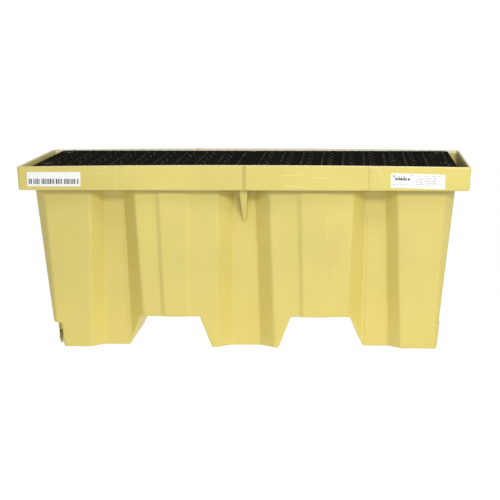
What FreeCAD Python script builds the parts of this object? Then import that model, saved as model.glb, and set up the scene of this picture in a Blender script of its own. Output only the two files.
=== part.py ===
import FreeCAD, Part
import math
import os

V = FreeCAD.Vector

# Driving dimensions of the two-drum spill pallet, in millimetres.
# +X runs along the pallet, -Y is its front, +Z is up, and the origin is the bottom's centre.
rim_length = 1346.0
rim_width = 737.0
height = 566.0
rim_height = 76.0
rim_draft = 4.5
rim_corner_radius = 18.0
wall = 6.0

# Walls of the sump, under the rim and at the floor: half sizes of the outer plan outline.
body_half_length = (630.0, 577.0)
body_half_width = (323.5, 252.0)
front_recess_depth = 48.0
end_recess_depth = 40.0
rib_proud = 8.0
wall_edge_radius = 10.0

# Tongues under the middle of each side of the rim: widths at the rim and at the foot.
gusset_widths = (25.0, 15.0)
gusset_drop = 96.0
gusset_setback = 13.0

# Fork tunnels, which run through the sump from front to back.
tunnel_centre_x = 229.0
tunnel_half_top = 91.0
tunnel_half_bottom = 128.0
tunnel_height = 97.0
tunnel_edge_radius = 8.0

# Drain pocket in the front left corner, and the drain fitting in it.
pocket_back_y = -180.0
pocket_height = 75.0
pocket_face_bottom_x = -553.5
pocket_face_top_x = -561.0
pocket_corner_radius = 8.0
drain_y = -216.0
drain_z = 31.0
drain_face_x = -562.0
drain_boss_radius = 22.0
drain_thread_radius = 13.3
drain_thread_clearance = 0.05
insert_radius = 17.0
insert_length = 22.0
fixed_fit_clearance = 0.05
gasket_thickness = 2.0
gasket_radius = 18.5
gasket_bore_radius = 13.7
plug_head_flats = 32.0
plug_head_length = 8.0
plug_wall = 4.0
plug_bottom = 3.0

# Deck of two grates.
deck_top = 559.0
deck_half_length = 635.0
deck_half_width = 325.0
cells_long = 10
cells_wide = 10
seam_gap = 2.0
plate_thickness = 6.0
grate_rib = 4.0
slot_width = 7.0
slot_length = 48.0
slot_offsets = (14.0, 27.0, 50.0)
deck_corner_radius = 24.0
seam_corner_radius = 3.0
pocket_corner = 1.0
finger_hole_width = 24.0
finger_hole_length = 54.0

# Posts that carry the middle of the deck.
post_radius = 30.15
post_wall = 3.9
cap_radius = 37.0
cap_flange = 5.0
cap_spigot = 22.0
cap_wall = 3.0
socket_wall = 4.0
socket_height = 10.0
socket_clearance = 0.6
post_y = 130.0
outer_post_x = 444.5
tunnel_post_x = 254.0

# Labels on the front rim.
label_size = (160.0, 43.5)
label_thickness = 0.4
label_corner_radius = 4.0
left_label_centre = (-563.0, 523.5)
right_label_centre = (516.5, 519.5)
right_label_tilt = -1.7

rim_bottom = height - rim_height
shelf_top = rim_bottom + wall
floor_top = wall
roof_top = tunnel_height + wall

# Planes that part the moulding into walls which meet face to face, so that each is simple.
part_rim_x = 580.0
part_wall_x = 541.0
part_base_z = 114.0
part_tunnel_x = (94.0, 364.0)
part_well_y = 93.0

# Half outline of the front wall from the middle outwards: (x under the rim, x at the floor,
# depth behind the outer plane). A negative depth stands proud.
front_stations = [
    (31.0, 43.5, front_recess_depth),
    (78.0, 89.0, 0.0),
    (160.0, 169.5, 0.0),
    (171.0, 177.0, -rib_proud),
    (254.0, 242.0, -rib_proud),
    (264.0, 251.0, 0.0),
    (328.0, 303.0, 0.0),
    (365.0, 351.0, front_recess_depth),
    (423.0, 432.0, front_recess_depth),
    (459.0, 471.0, 0.0),
    (600.0, 570.0, 0.0),
]

# The same for an end wall: (y under the rim, y at the floor, depth).
end_stations = [
    (32.0, 36.0, end_recess_depth),
    (74.0, 78.0, 0.0),
    (293.5, 244.5, 0.0),
]

# Outline of the rim: a groove in the middle of each side, and a shallow panel along the front.
rim_front_stations = [(3.5, 6.0), (8.5, 1.8), (370.0, 1.8), (378.0, 0.0)]
rim_end_stations = [(3.5, 4.2), (8.5, 0.0)]


def mirrored(half):
    """A full run of (along, depth) pairs from a half run, in rising order of along."""
    return [(-a, d) for a, d in reversed(half)] + list(half)


def loop_from_sides(half_length, half_width, front, end, corner):
    """Counter-clockwise plan outline from the runs of a long side and of an end."""
    points = [(a, d - half_width) for a, d in mirrored(front)]
    if corner:
        points.append((half_length, -half_width))
    points += [(half_length - d, a) for a, d in mirrored(end)]
    if corner:
        points.append((half_length, half_width))
    half = len(points)
    opposite = [(-x, -y) for x, y in points]
    return points + opposite[:half]


def body_outline(z):
    """Outer plan outline of the sump at height z."""
    share = z / rim_bottom
    half_length = body_half_length[1] + (body_half_length[0] - body_half_length[1]) * share
    half_width = body_half_width[1] + (body_half_width[0] - body_half_width[1]) * share
    front = [(b + (t - b) * share, d) for t, b, d in front_stations]
    end = [(b + (t - b) * share, d) for t, b, d in end_stations]
    return loop_from_sides(half_length, half_width, front, end, False)


def rim_outline(z):
    """Outer plan outline of the rim at height z."""
    inset = rim_draft * (height - z) / rim_height
    return loop_from_sides(rim_length / 2 - inset, rim_width / 2 - inset,
                           rim_front_stations, rim_end_stations, True)


def inset_outline(points, distance):
    """The outline moved inwards by distance, corner by corner."""
    moved = []
    count = len(points)
    for i in range(count):
        before = points[i - 1]
        here = points[i]
        after = points[(i + 1) % count]
        ax, ay = here[0] - before[0], here[1] - before[1]
        bx, by = after[0] - here[0], after[1] - here[1]
        al, bl = math.hypot(ax, ay), math.hypot(bx, by)
        nx = -ay / al - by / bl
        ny = ax / al + bx / bl
        scale = distance / (1 + (ax * bx + ay * by) / (al * bl))
        moved.append((here[0] + nx * scale, here[1] + ny * scale))
    return moved


def rounded_wire(points, radius, z, corner_radius=None):
    """A closed wire at height z with every corner an arc. Long corners may have their own radius."""
    count = len(points)
    corners = []
    for i in range(count):
        before = V(*points[i - 1], z)
        here = V(*points[i], z)
        after = V(*points[(i + 1) % count], z)
        back = before - here
        ahead = after - here
        turn = math.pi - back.getAngle(ahead)
        wanted = radius
        if corner_radius and turn > math.radians(80):
            wanted = corner_radius
        reach = min(wanted * math.tan(turn / 2), 0.45 * min(back.Length, ahead.Length))
        back.normalize()
        ahead.normalize()
        bisector = back + ahead
        bisector.normalize()
        start = here + back * reach
        finish = here + ahead * reach
        true_radius = reach / math.tan(turn / 2)
        middle = here + bisector * (true_radius / math.cos(turn / 2) - true_radius)
        corners.append((start, middle, finish))
    edges = []
    for i in range(count):
        start, middle, finish = corners[i]
        edges.append(Part.Arc(start, middle, finish).toShape())
        following = corners[(i + 1) % count][0]
        edges.append(Part.LineSegment(finish, following).toShape())
    return Part.Wire(edges)


def lofted(outline, low, high, radius, distance=0.0, corner_radius=None):
    """A solid between two heights of an outline function, moved inwards by distance."""
    wires = []
    for z in (low, high):
        points = outline(z)
        if distance:
            points = inset_outline(points, distance)
        wires.append(rounded_wire(points, radius, z, corner_radius))
    return Part.makeLoft(wires, True, True)


def prism(profile, direction):
    """A closed profile of points, extruded along a vector."""
    wire = Part.makePolygon(list(profile) + [profile[0]])
    return Part.Face(wire).extrude(direction)


def box(low, high):
    """A box between two corners."""
    return Part.makeBox(high[0] - low[0], high[1] - low[1], high[2] - low[2], V(*low))


def tunnel(side, grow):
    """The prism of one fork tunnel, grown by a wall's thickness for the inside of the sump."""
    run = rim_width
    x = side * tunnel_centre_x
    top = tunnel_height + grow
    lean = (tunnel_half_bottom - tunnel_half_top) / tunnel_height
    half_top = tunnel_half_top + grow * 0.7
    half_foot = half_top + lean * (top + wall)
    profile = [V(x - half_foot, -run, -wall), V(x + half_foot, -run, -wall),
               V(x + half_top, -run, top), V(x - half_top, -run, top)]
    solid = prism(profile, V(0, 2 * run, 0))
    upper = [e for e in solid.Edges if e.BoundBox.ZMin > top - 1 and e.BoundBox.YLength > run]
    return solid.makeFillet(tunnel_edge_radius + grow / 2, upper)


def drain_pocket(grow):
    """The notch in the front left corner, grown for the inside of the sump."""
    reach = rim_length
    low_x, high_x = pocket_face_bottom_x + grow, pocket_face_top_x + grow
    top = pocket_height + grow
    profile = [V(-reach, -reach, -wall), V(low_x, -reach, -wall), V(low_x, -reach, 0),
               V(high_x, -reach, top), V(-reach, -reach, top)]
    solid = prism(profile, V(0, reach + pocket_back_y + grow, 0))
    corner = [e for e in solid.Edges if e.BoundBox.ZMin > pocket_height - 1
              and e.BoundBox.YLength > wall and e.BoundBox.XMin > high_x - 1]
    return solid.makeFillet(pocket_corner_radius + grow / 2, corner)


def along_x(radius, start, length, y=drain_y, z=drain_z):
    """A round bar along +X."""
    return Part.makeCylinder(radius, length, V(start, y, z), V(1, 0, 0))


def gusset(angle, half_across, end, reach, drop):
    """A tapered tongue under the rim, rooted in the recess in the middle of one side."""
    low = rim_bottom - drop
    share = low / rim_bottom
    depth = end_recess_depth if end else front_recess_depth
    foot_top = half_across[0] - depth
    foot_low = half_across[1] + (half_across[0] - half_across[1]) * share - depth
    half_top, half_low, root = gusset_widths[0] / 2, gusset_widths[1] / 2, wall * 0.6
    upper = [V(-half_top, -reach, rim_bottom + 2), V(half_top, -reach, rim_bottom + 2),
             V(half_top, root - foot_top, rim_bottom + 2), V(-half_top, root - foot_top, rim_bottom + 2)]
    lower = [V(-half_low, -foot_low - 1, low), V(half_low, -foot_low - 1, low),
             V(half_low, root - foot_low, low), V(-half_low, root - foot_low, low)]
    solid = Part.makeLoft([Part.makePolygon(points + points[:1]) for points in (upper, lower)], True, True)
    solid.rotate(V(0, 0, 0), V(0, 0, 1), angle)
    return solid


def post_places():
    """(x, y, foot height) of each post, from left to right and front to back."""
    columns = [(-outer_post_x, floor_top), (-tunnel_post_x, roof_top), (0.0, floor_top),
               (tunnel_post_x, roof_top), (outer_post_x, floor_top)]
    return [(x, y, foot) for x, foot in columns for y in (-post_y, post_y)]


def post_socket(x, y, foot):
    """The low moulded ring that keeps a post in its place."""
    inner = post_radius + socket_clearance
    ring = Part.makeCylinder(inner + socket_wall, socket_height + 2, V(x, y, foot - 2))
    return ring.cut(Part.makeCylinder(inner, socket_height + 4, V(x, y, foot - 3)))


def sump_cells():
    """Boxes side by side that part the moulding into rim, walls, floors and fork tunnels."""
    x, y = rim_length, rim_width
    cells = [box((-x, -y, rim_bottom), (-part_rim_x, y, height + wall)),
             box((part_rim_x, -y, rim_bottom), (x, y, height + wall)),
             box((-part_rim_x, -y, rim_bottom), (part_rim_x, 0, height + wall)),
             box((-part_rim_x, 0, rim_bottom), (part_rim_x, y, height + wall)),
             box((-x, -y, part_base_z), (-part_wall_x, y, rim_bottom)),
             box((part_wall_x, -y, part_base_z), (x, y, rim_bottom)),
             box((-part_wall_x, -y, part_base_z), (part_wall_x, 0, rim_bottom)),
             box((-part_wall_x, 0, part_base_z), (part_wall_x, y, rim_bottom))]
    near, far = part_tunnel_x
    for low, high in ((-x, -far), (-far, -near), (near, far), (far, x)):
        cells.append(box((low, -y, -wall), (high, y, part_base_z)))
    for low, high in ((-y, -part_well_y), (-part_well_y, part_well_y), (part_well_y, y)):
        cells.append(box((-near, low, -wall), (near, high, part_base_z)))
    return cells


def sump_body():
    """The tub, one moulding: tapered corrugated walls, fork tunnels, shelf and rim."""
    rim = lofted(rim_outline, rim_bottom, height, 2.5, 0.0, rim_corner_radius)
    outer = lofted(body_outline, 0.0, rim_bottom + 1, wall_edge_radius).fuse(rim)
    front_reach = rim_width / 2 - gusset_setback
    end_reach = rim_length / 2 - gusset_setback
    tongues = [gusset(angle, body_half_width, False, front_reach, gusset_drop) for angle in (0, 180)]
    tongues += [gusset(angle, body_half_length, True, end_reach, gusset_drop) for angle in (90, 270)]
    outer = outer.fuse(tongues)
    outer = outer.cut([tunnel(-1, 0), tunnel(1, 0), drain_pocket(0)])
    hollow = lofted(body_outline, floor_top, shelf_top + 1, wall_edge_radius, wall)
    hollow = hollow.cut([tunnel(-1, wall), tunnel(1, wall), drain_pocket(wall)])
    rim_hollow = lofted(rim_outline, shelf_top, height + 2, 2.5, wall, rim_corner_radius - wall)
    body = outer.cut([hollow, rim_hollow])
    boss = along_x(drain_boss_radius, drain_face_x, pocket_face_bottom_x + wall - drain_face_x)
    sockets = [post_socket(*place) for place in post_places()]
    body = body.fuse([boss] + sockets)
    body = body.cut(along_x(insert_radius, drain_face_x - 1, insert_length + 2)).removeSplitter()
    return Part.makeCompound([solid for cell in sump_cells() for solid in body.common(cell).Solids])


def drain_insert():
    """The threaded sleeve moulded into the drain boss."""
    sleeve = along_x(insert_radius - fixed_fit_clearance, drain_face_x, insert_length)
    bore = along_x(drain_thread_radius + drain_thread_clearance, drain_face_x - 1, insert_length + 2)
    return sleeve.cut(bore)


def drain_gasket():
    """The flat ring under the plug's head."""
    ring = along_x(gasket_radius, drain_face_x - gasket_thickness, gasket_thickness)
    return ring.cut(along_x(gasket_bore_radius, drain_face_x - gasket_thickness - 1, gasket_thickness + 2))


def drain_plug():
    """The hexagon-headed screw plug, with a hollow behind its head."""
    head_face = drain_face_x - gasket_thickness
    across_corners = plug_head_flats / math.cos(math.pi / 6)
    corners = [V(head_face - plug_head_length,
                 drain_y + across_corners / 2 * math.cos(math.radians(a)),
                 drain_z + across_corners / 2 * math.sin(math.radians(a))) for a in range(0, 360, 60)]
    head = prism(corners, V(plug_head_length, 0, 0))
    shank = along_x(drain_thread_radius, head_face - 1, insert_length + gasket_thickness)
    hollow = along_x(drain_thread_radius - plug_wall, head_face + plug_bottom, insert_length + 5)
    return head.fuse(shank).cut(hollow).removeSplitter()


def rounded_rectangle(low, high, radii, z):
    """A wire with its own radius at each corner, from the low x, low y corner counter-clockwise."""
    corners = [(low[0], low[1]), (high[0], low[1]), (high[0], high[1]), (low[0], high[1])]
    steps = [(1, 0), (0, 1), (-1, 0), (0, -1)]
    edges = []
    ends = []
    for i, (x, y) in enumerate(corners):
        r = radii[i]
        ahead = steps[i]
        back = steps[i - 1]
        start = V(x - back[0] * r, y - back[1] * r, z)
        finish = V(x + ahead[0] * r, y + ahead[1] * r, z)
        centre = V(x - back[0] * r + ahead[0] * r, y - back[1] * r + ahead[1] * r, z)
        middle = centre + (V(x, y, z) - centre).normalize() * r
        ends.append((start, middle, finish))
    for i in range(4):
        start, middle, finish = ends[i]
        edges.append(Part.Arc(start, middle, finish).toShape())
        edges.append(Part.LineSegment(finish, ends[(i + 1) % 4][0]).toShape())
    return Part.Wire(edges)


def rectangle(low, high, z):
    """A square-cornered wire at height z."""
    corners = [(low[0], low[1]), (high[0], low[1]), (high[0], high[1]), (low[0], high[1]), (low[0], low[1])]
    return Part.makePolygon([V(x, y, z) for x, y in corners])


def slot_wire(x, y, width, length, z):
    """A round-ended slot along Y."""
    r = width / 2
    low, high = y - length / 2 + r, y + length / 2 - r
    corners = [V(x + r, low, z), V(x + r, high, z), V(x - r, high, z), V(x - r, low, z)]
    front = Part.Arc(corners[3], V(x, low - r, z), corners[0])
    back = Part.Arc(corners[1], V(x, high + r, z), corners[2])
    right = Part.LineSegment(corners[0], corners[1])
    left = Part.LineSegment(corners[2], corners[3])
    return Part.Wire([edge.toShape() for edge in (front, right, back, left)])


def flat_face(wires):
    """A flat face from an outer wire and the wires of its holes."""
    return Part.makeFace(Part.Compound(wires), "Part::FaceMakerBullseye")


def swept_walls(wires, rise):
    """The upright faces that the wires sweep as they rise."""
    return [face for wire in wires for face in wire.extrude(V(0, 0, rise)).Faces]


def lifted(wires, rise):
    """Copies of the wires, higher by rise."""
    return [wire.translated(V(0, 0, rise)) for wire in wires]


def is_finger_cell(column, row, side):
    """True for the two cells at a grate's outer edge that hold a finger hole."""
    outer_column = cells_long - 1 if side > 0 else 0
    return column == outer_column and row in (1, cells_wide - 2)


def cell_slots(x, y, pitch, finger, z):
    """The wires of one cell's drain slots, or of its finger hole."""
    if finger:
        return [slot_wire(x + pitch / 2, y, finger_hole_width, finger_hole_length, z)]
    return [slot_wire(x + offset, y, slot_width, slot_length, z) for offset in slot_offsets]


def cell_pocket(low, high, column, row, side):
    """The wire of the hollow between the ribs under one cell."""
    outer_column = cells_long - 1 if side > 0 else 0
    if column != outer_column or row not in (0, cells_wide - 1):
        return rectangle(low, high, shelf_top)
    radii = [pocket_corner] * 4
    corner = {(-1, 0): 0, (1, 0): 1, (1, cells_wide - 1): 2, (-1, cells_wide - 1): 3}[(side, row)]
    radii[corner] = deck_corner_radius - grate_rib
    return rounded_rectangle(low, high, radii, shelf_top)


def grate(side):
    """One deck grate: a slotted plate over a lattice of ribs, closed up from its faces."""
    low_x = seam_gap / 2 if side > 0 else -deck_half_length
    high_x = deck_half_length if side > 0 else -seam_gap / 2
    first_x = 0.0 if side > 0 else -deck_half_length
    pitch_x = deck_half_length / cells_long
    pitch_y = 2 * deck_half_width / cells_wide
    rib, edge = grate_rib / 2, grate_rib
    drop = deck_top - plate_thickness - shelf_top
    ceilings = []
    slots = []
    pockets = []
    for column in range(cells_long):
        for row in range(cells_wide):
            x = first_x + column * pitch_x
            y = -deck_half_width + row * pitch_y
            front_rib = edge if row == 0 else rib
            back_rib = edge if row == cells_wide - 1 else rib
            low = (max(x + rib, low_x + edge), y + front_rib)
            high = (min(x + pitch_x - rib, high_x - edge), y + pitch_y - back_rib)
            pocket = cell_pocket(low, high, column, row, side)
            finger = is_finger_cell(column, row, side)
            holes = cell_slots(x, y + pitch_y / 2, pitch_x, finger, shelf_top + drop)
            ceilings.append(flat_face(lifted([pocket], drop) + holes))
            pockets.append(pocket)
            slots += holes
    outer, seam = deck_corner_radius, seam_corner_radius
    radii = (seam, outer, outer, seam) if side > 0 else (outer, seam, seam, outer)
    outline = rounded_rectangle((low_x, -deck_half_width), (high_x, deck_half_width), radii, shelf_top)
    underside = flat_face([outline] + pockets)
    top = flat_face(lifted([outline], deck_top - shelf_top) + lifted(slots, plate_thickness))
    faces = [underside, top] + ceilings
    faces += swept_walls([outline], deck_top - shelf_top)
    faces += swept_walls(pockets, drop)
    faces += swept_walls(slots, plate_thickness)
    shell = Part.Shell(faces)
    shell.sewShape()
    return Part.Solid(shell)


def support_post(x, y, foot):
    """A length of plastic pipe standing in its socket."""
    length = shelf_top - cap_flange - foot
    pipe = Part.makeCylinder(post_radius, length, V(x, y, foot))
    return pipe.cut(Part.makeCylinder(post_radius - post_wall, length + 2, V(x, y, foot - 1)))


def post_cap(x, y):
    """The flanged plug in the top of a post, which the grate's ribs rest on."""
    flange_low = shelf_top - cap_flange
    flange = Part.makeCylinder(cap_radius, cap_flange, V(x, y, flange_low))
    low = V(x, y, flange_low - cap_spigot)
    spigot = Part.makeCylinder(post_radius - post_wall - fixed_fit_clearance, cap_spigot + 1, low)
    hollow = Part.makeCylinder(post_radius - post_wall - cap_wall, cap_spigot, low)
    return flange.fuse(spigot).cut(hollow).removeSplitter()


def label(centre, tilt):
    """A thin label lying on the front of the rim."""
    lean = math.degrees(math.atan2(rim_draft, rim_height))
    half_length, half_height = label_size[0] / 2, label_size[1] / 2
    radii = (label_corner_radius,) * 4
    wire = rounded_rectangle((-half_length, -half_height), (half_length, half_height), radii, 0.0)
    sheet = Part.Face(wire).extrude(V(0, 0, label_thickness))
    sheet.rotate(V(0, 0, 0), V(0, 0, 1), tilt)
    sheet.rotate(V(0, 0, 0), V(1, 0, 0), 90 + lean)
    y = -rim_width / 2 + rim_draft * (height - centre[1]) / rim_height
    sheet.translate(V(centre[0], y, centre[1]))
    return sheet


def parts():
    """Every piece by its name."""
    made = {
        "sump_body": sump_body(),
        "left_grate": grate(-1),
        "right_grate": grate(1),
        "drain_insert": drain_insert(),
        "drain_gasket": drain_gasket(),
        "drain_plug": drain_plug(),
        "left_label": label(left_label_centre, 0.0),
        "right_label": label(right_label_centre, right_label_tilt),
    }
    for number, (x, y, foot) in enumerate(post_places(), start=1):
        made["support_post_%02d" % number] = support_post(x, y, foot)
        made["post_cap_%02d" % number] = post_cap(x, y)
    return made


os.makedirs("parts", exist_ok=True)
for name, shape in parts().items():
    print(name, shape.isValid(), len(shape.Solids), round(shape.Volume / 1000, 1), "cm3")
    shape.exportStep("parts/" + name + ".step")
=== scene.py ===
"""Two-drum spill containment pallet: a moulded tub with fork tunnels, two black grates on posts, a drain
fitting and two plain printed labels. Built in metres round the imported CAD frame."""

import bpy
import bmesh
import math
from contextlib import contextmanager

import numpy as np
from mathutils import Matrix, Vector


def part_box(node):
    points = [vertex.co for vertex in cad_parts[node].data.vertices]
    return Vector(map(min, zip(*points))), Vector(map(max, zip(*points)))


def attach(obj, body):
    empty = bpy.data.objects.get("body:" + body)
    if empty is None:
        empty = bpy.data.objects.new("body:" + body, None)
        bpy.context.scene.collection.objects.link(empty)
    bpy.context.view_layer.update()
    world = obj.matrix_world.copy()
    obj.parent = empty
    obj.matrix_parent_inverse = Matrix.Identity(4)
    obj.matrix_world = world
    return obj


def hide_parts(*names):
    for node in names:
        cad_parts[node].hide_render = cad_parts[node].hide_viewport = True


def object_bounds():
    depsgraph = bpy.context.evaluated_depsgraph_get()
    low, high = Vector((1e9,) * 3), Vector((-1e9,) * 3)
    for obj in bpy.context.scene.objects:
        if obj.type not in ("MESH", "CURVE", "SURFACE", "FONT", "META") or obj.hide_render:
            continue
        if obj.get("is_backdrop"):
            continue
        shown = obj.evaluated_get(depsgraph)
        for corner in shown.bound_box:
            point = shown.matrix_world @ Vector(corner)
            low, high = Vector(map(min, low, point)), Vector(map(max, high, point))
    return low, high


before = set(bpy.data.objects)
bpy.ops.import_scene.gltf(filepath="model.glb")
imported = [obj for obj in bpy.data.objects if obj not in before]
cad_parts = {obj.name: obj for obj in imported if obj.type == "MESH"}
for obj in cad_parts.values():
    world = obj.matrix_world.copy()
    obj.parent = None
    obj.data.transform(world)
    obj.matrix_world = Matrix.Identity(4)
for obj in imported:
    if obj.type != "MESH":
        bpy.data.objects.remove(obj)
cad_low, cad_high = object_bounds()

MM = 0.001

# ---- Dimensions, in millimetres, in the frame of the CAD model ----
RIM_HALF_LENGTH = cad_high.x / MM
RIM_HALF_WIDTH = cad_high.y / MM
RIM_TOP = cad_high.z / MM
RIM_BOTTOM = 490.0
SHELF_TOP = 496.0
RIM_DRAFT = 4.5
RIM_CORNER = 9.0
RIM_ARCH = 5.0
RIM_EDGE = 5.0
BUMP_X = 186.0
BUMP_WIDTH = 7.0
BUMP_HEIGHT = 2.4
BACK = (300.0, 360.0)
BRINK = 5.0
WALL = 6.0
LIP = WALL / 2

BODY_HALF_LENGTH = (577.0, 630.0)
BODY_HALF_WIDTH = (252.0, 323.5)
FRONT_RECESS = 48.0
END_RECESS = 40.0
RIB_PROUD = 8.0

# Half run of the long walls from the middle outwards: (x under the rim, x at the floor, depth).
FRONT_RUN = (
    (31.0, 43.5, FRONT_RECESS), (78.0, 89.0, 0.0), (160.0, 169.5, 0.0), (171.0, 177.0, -RIB_PROUD),
    (254.0, 242.0, -RIB_PROUD), (264.0, 251.0, 0.0), (328.0, 303.0, 0.0), (365.0, 351.0, FRONT_RECESS),
    (423.0, 432.0, FRONT_RECESS), (459.0, 471.0, 0.0), (600.0, 570.0, 0.0),
)
END_RUN = ((32.0, 36.0, END_RECESS), (74.0, 78.0, 0.0), (293.5, 244.5, 0.0))

# Lower edge of the long walls, half of it: (x, z, radius) of its corners.
FOOT_EDGE = ((101.0, 0.0, 5.0), (138.0, 97.0, 8.0), (320.0, 97.0, 8.0), (357.0, 0.0, 5.0))

FLOOR_FILLET = 4.5
RIM_FILLET = 6.0
SHEET_REACH = 515.0
SHEET_ROWS = 14

POCKET_BACK = -180.0
POCKET_TOP = 75.0
POCKET_FACE = (-553.5, -561.0)
POCKET_CONVEX = 8.0
POCKET_FRONT = 557.0
POCKET_LEVEL = 40.0
POCKET_FADE = 60.0
BLANK_STEP = 3.0
BLANK_TOP = 80.0
BLANK_FRONT = 560.0
BLANK_END = 105.0

DRAIN_Y = -216.0
DRAIN_Z = 31.0
DRAIN_FACE = -562.0

DECK_TOP = 559.0
SEAM = 1.0
DECK_HALF_LENGTH = 635.0
DECK_HALF_WIDTH = 325.0
DECK_CORNER = 24.0
CELLS = 10
PITCH_X = DECK_HALF_LENGTH / CELLS
PITCH_Y = 2 * DECK_HALF_WIDTH / CELLS
PLATE = 6.0
RIB = 4.0
SLOT_WIDTH = 7.0
SLOT_LENGTH = 48.0
SLOT_OFFSETS = (14.0, 27.0, 50.0)
FINGER_WIDTH = 24.0
FINGER_LENGTH = 54.0


# ---- Node helpers ----
class Nodes:
    """Short calls for building one material's node tree."""

    def __init__(self, name):
        self.material = bpy.data.materials.new(name)
        self.material.use_nodes = True
        self.tree = self.material.node_tree
        self.shader = self.tree.nodes["Principled BSDF"]
        self.coords = self.tree.nodes.new("ShaderNodeTexCoord").outputs["Object"]

    def put(self, node, values):
        """Sets inputs to values, or links them where the value is a socket."""
        for socket, value in values.items():
            if isinstance(value, bpy.types.NodeSocket):
                self.tree.links.new(value, node.inputs[socket])
            else:
                node.inputs[socket].default_value = value

    def new(self, kind, values, **settings):
        """The outputs of a new node."""
        node = self.tree.nodes.new("ShaderNode" + kind)
        for name, value in settings.items():
            setattr(node, name, value)
        self.put(node, values)
        return node.outputs

    def noise(self, scale, detail=4.0, roughness=0.55, stretch=None):
        vector = self.coords
        if stretch:
            vector = self.new("Mapping", {"Vector": vector, "Scale": stretch})["Vector"]
        values = {"Vector": vector, "Scale": scale, "Detail": detail, "Roughness": roughness}
        return self.new("TexNoise", values)["Fac"]

    def ramp(self, value, low, high, to_low=0.0, to_high=1.0):
        """Maps value from low..high to to_low..to_high, smoothly and clamped."""
        values = {"Value": value, "From Min": low, "From Max": high, "To Min": to_low, "To Max": to_high}
        return self.new("MapRange", values, interpolation_type="SMOOTHSTEP")["Result"]

    def math(self, operation, a, b=0.0):
        return self.new("Math", {0: a, 1: b}, operation=operation)["Value"]

    def times(self, a, b):
        return self.math("MULTIPLY", a, b)

    def axis(self, name):
        """One coordinate of the surface point, in metres."""
        return self.new("SeparateXYZ", {"Vector": self.coords})[name]

    def mix(self, factor, a, b):
        """Blends two colours."""
        return self.new("Mix", {0: factor, 6: a, 7: b}, data_type="RGBA")[2]

    def over(self, colour, mask, strength, paint):
        """The colour with paint laid over it where the mask says."""
        return self.mix(self.times(mask, strength), colour, paint)

    def stroke(self, start, end, width):
        """A soft line between two (x, z) points, as seen along y, in metres."""
        x, z = self.axis("X"), self.axis("Z")
        dx, dz = end[0] - start[0], end[1] - start[1]
        length = math.hypot(dx, dz)
        dx, dz = dx / length, dz / length
        along = self.math("ADD", self.times(x, dx), self.times(z, dz))
        across = self.math("SUBTRACT", self.times(x, dz), self.times(z, dx))
        middle = ((start[0] + end[0]) * dx + (start[1] + end[1]) * dz) / 2
        off = self.math("ABSOLUTE", self.math("SUBTRACT", across, start[0] * dz - start[1] * dx))
        reach = self.math("ABSOLUTE", self.math("SUBTRACT", along, middle))
        side = self.ramp(off, width * 0.4, width, 1.0, 0.0)
        return self.times(side, self.ramp(reach, length * 0.42, length * 0.5, 1.0, 0.0))

    def bump(self, height, strength, distance, normal=None):
        values = {"Height": height, "Strength": strength, "Distance": distance}
        if normal is not None:
            values["Normal"] = normal
        return self.new("Bump", values)["Normal"]

    def finish(self, colour, roughness, normal=None, **fixed):
        values = {"Base Color": colour, "Roughness": roughness}
        if normal is not None:
            values["Normal"] = normal
        values.update((name.replace("_", " "), value) for name, value in fixed.items())
        self.put(self.shader, values)
        return self.material


def srgb(r, g, b):
    """A linear RGBA colour from 0-255 display values."""
    def linear(v):
        v /= 255.0
        return v / 12.92 if v <= 0.04045 else ((v + 0.055) / 1.055) ** 2.4
    return (linear(r), linear(g), linear(b), 1.0)


def tint(colour, factor):
    """A lighter or darker copy of a colour."""
    return tuple(min(1.0, c * factor) for c in colour[:3]) + (1.0,)


YELLOW = (0.640, 0.545, 0.150, 1.0)

# Scratches and small bright dots in the front of the rim: (start, end, half width) as x and z in metres.
RIM_SCRATCHES = (
    ((0.396, 0.563), (0.424, 0.496), 0.0011), ((0.105, 0.535), (0.175, 0.537), 0.0010),
    ((0.180, 0.531), (0.262, 0.527), 0.0010), ((0.120, 0.505), (0.200, 0.498), 0.0010),
    ((-0.46, 0.541), (-0.40, 0.539), 0.0009), ((0.389, 0.556), (0.392, 0.553), 0.0022),
    ((0.389, 0.537), (0.392, 0.533), 0.0020), ((0.389, 0.514), (0.392, 0.511), 0.0020),
    ((0.357, 0.508), (0.360, 0.500), 0.0022),
)


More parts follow.
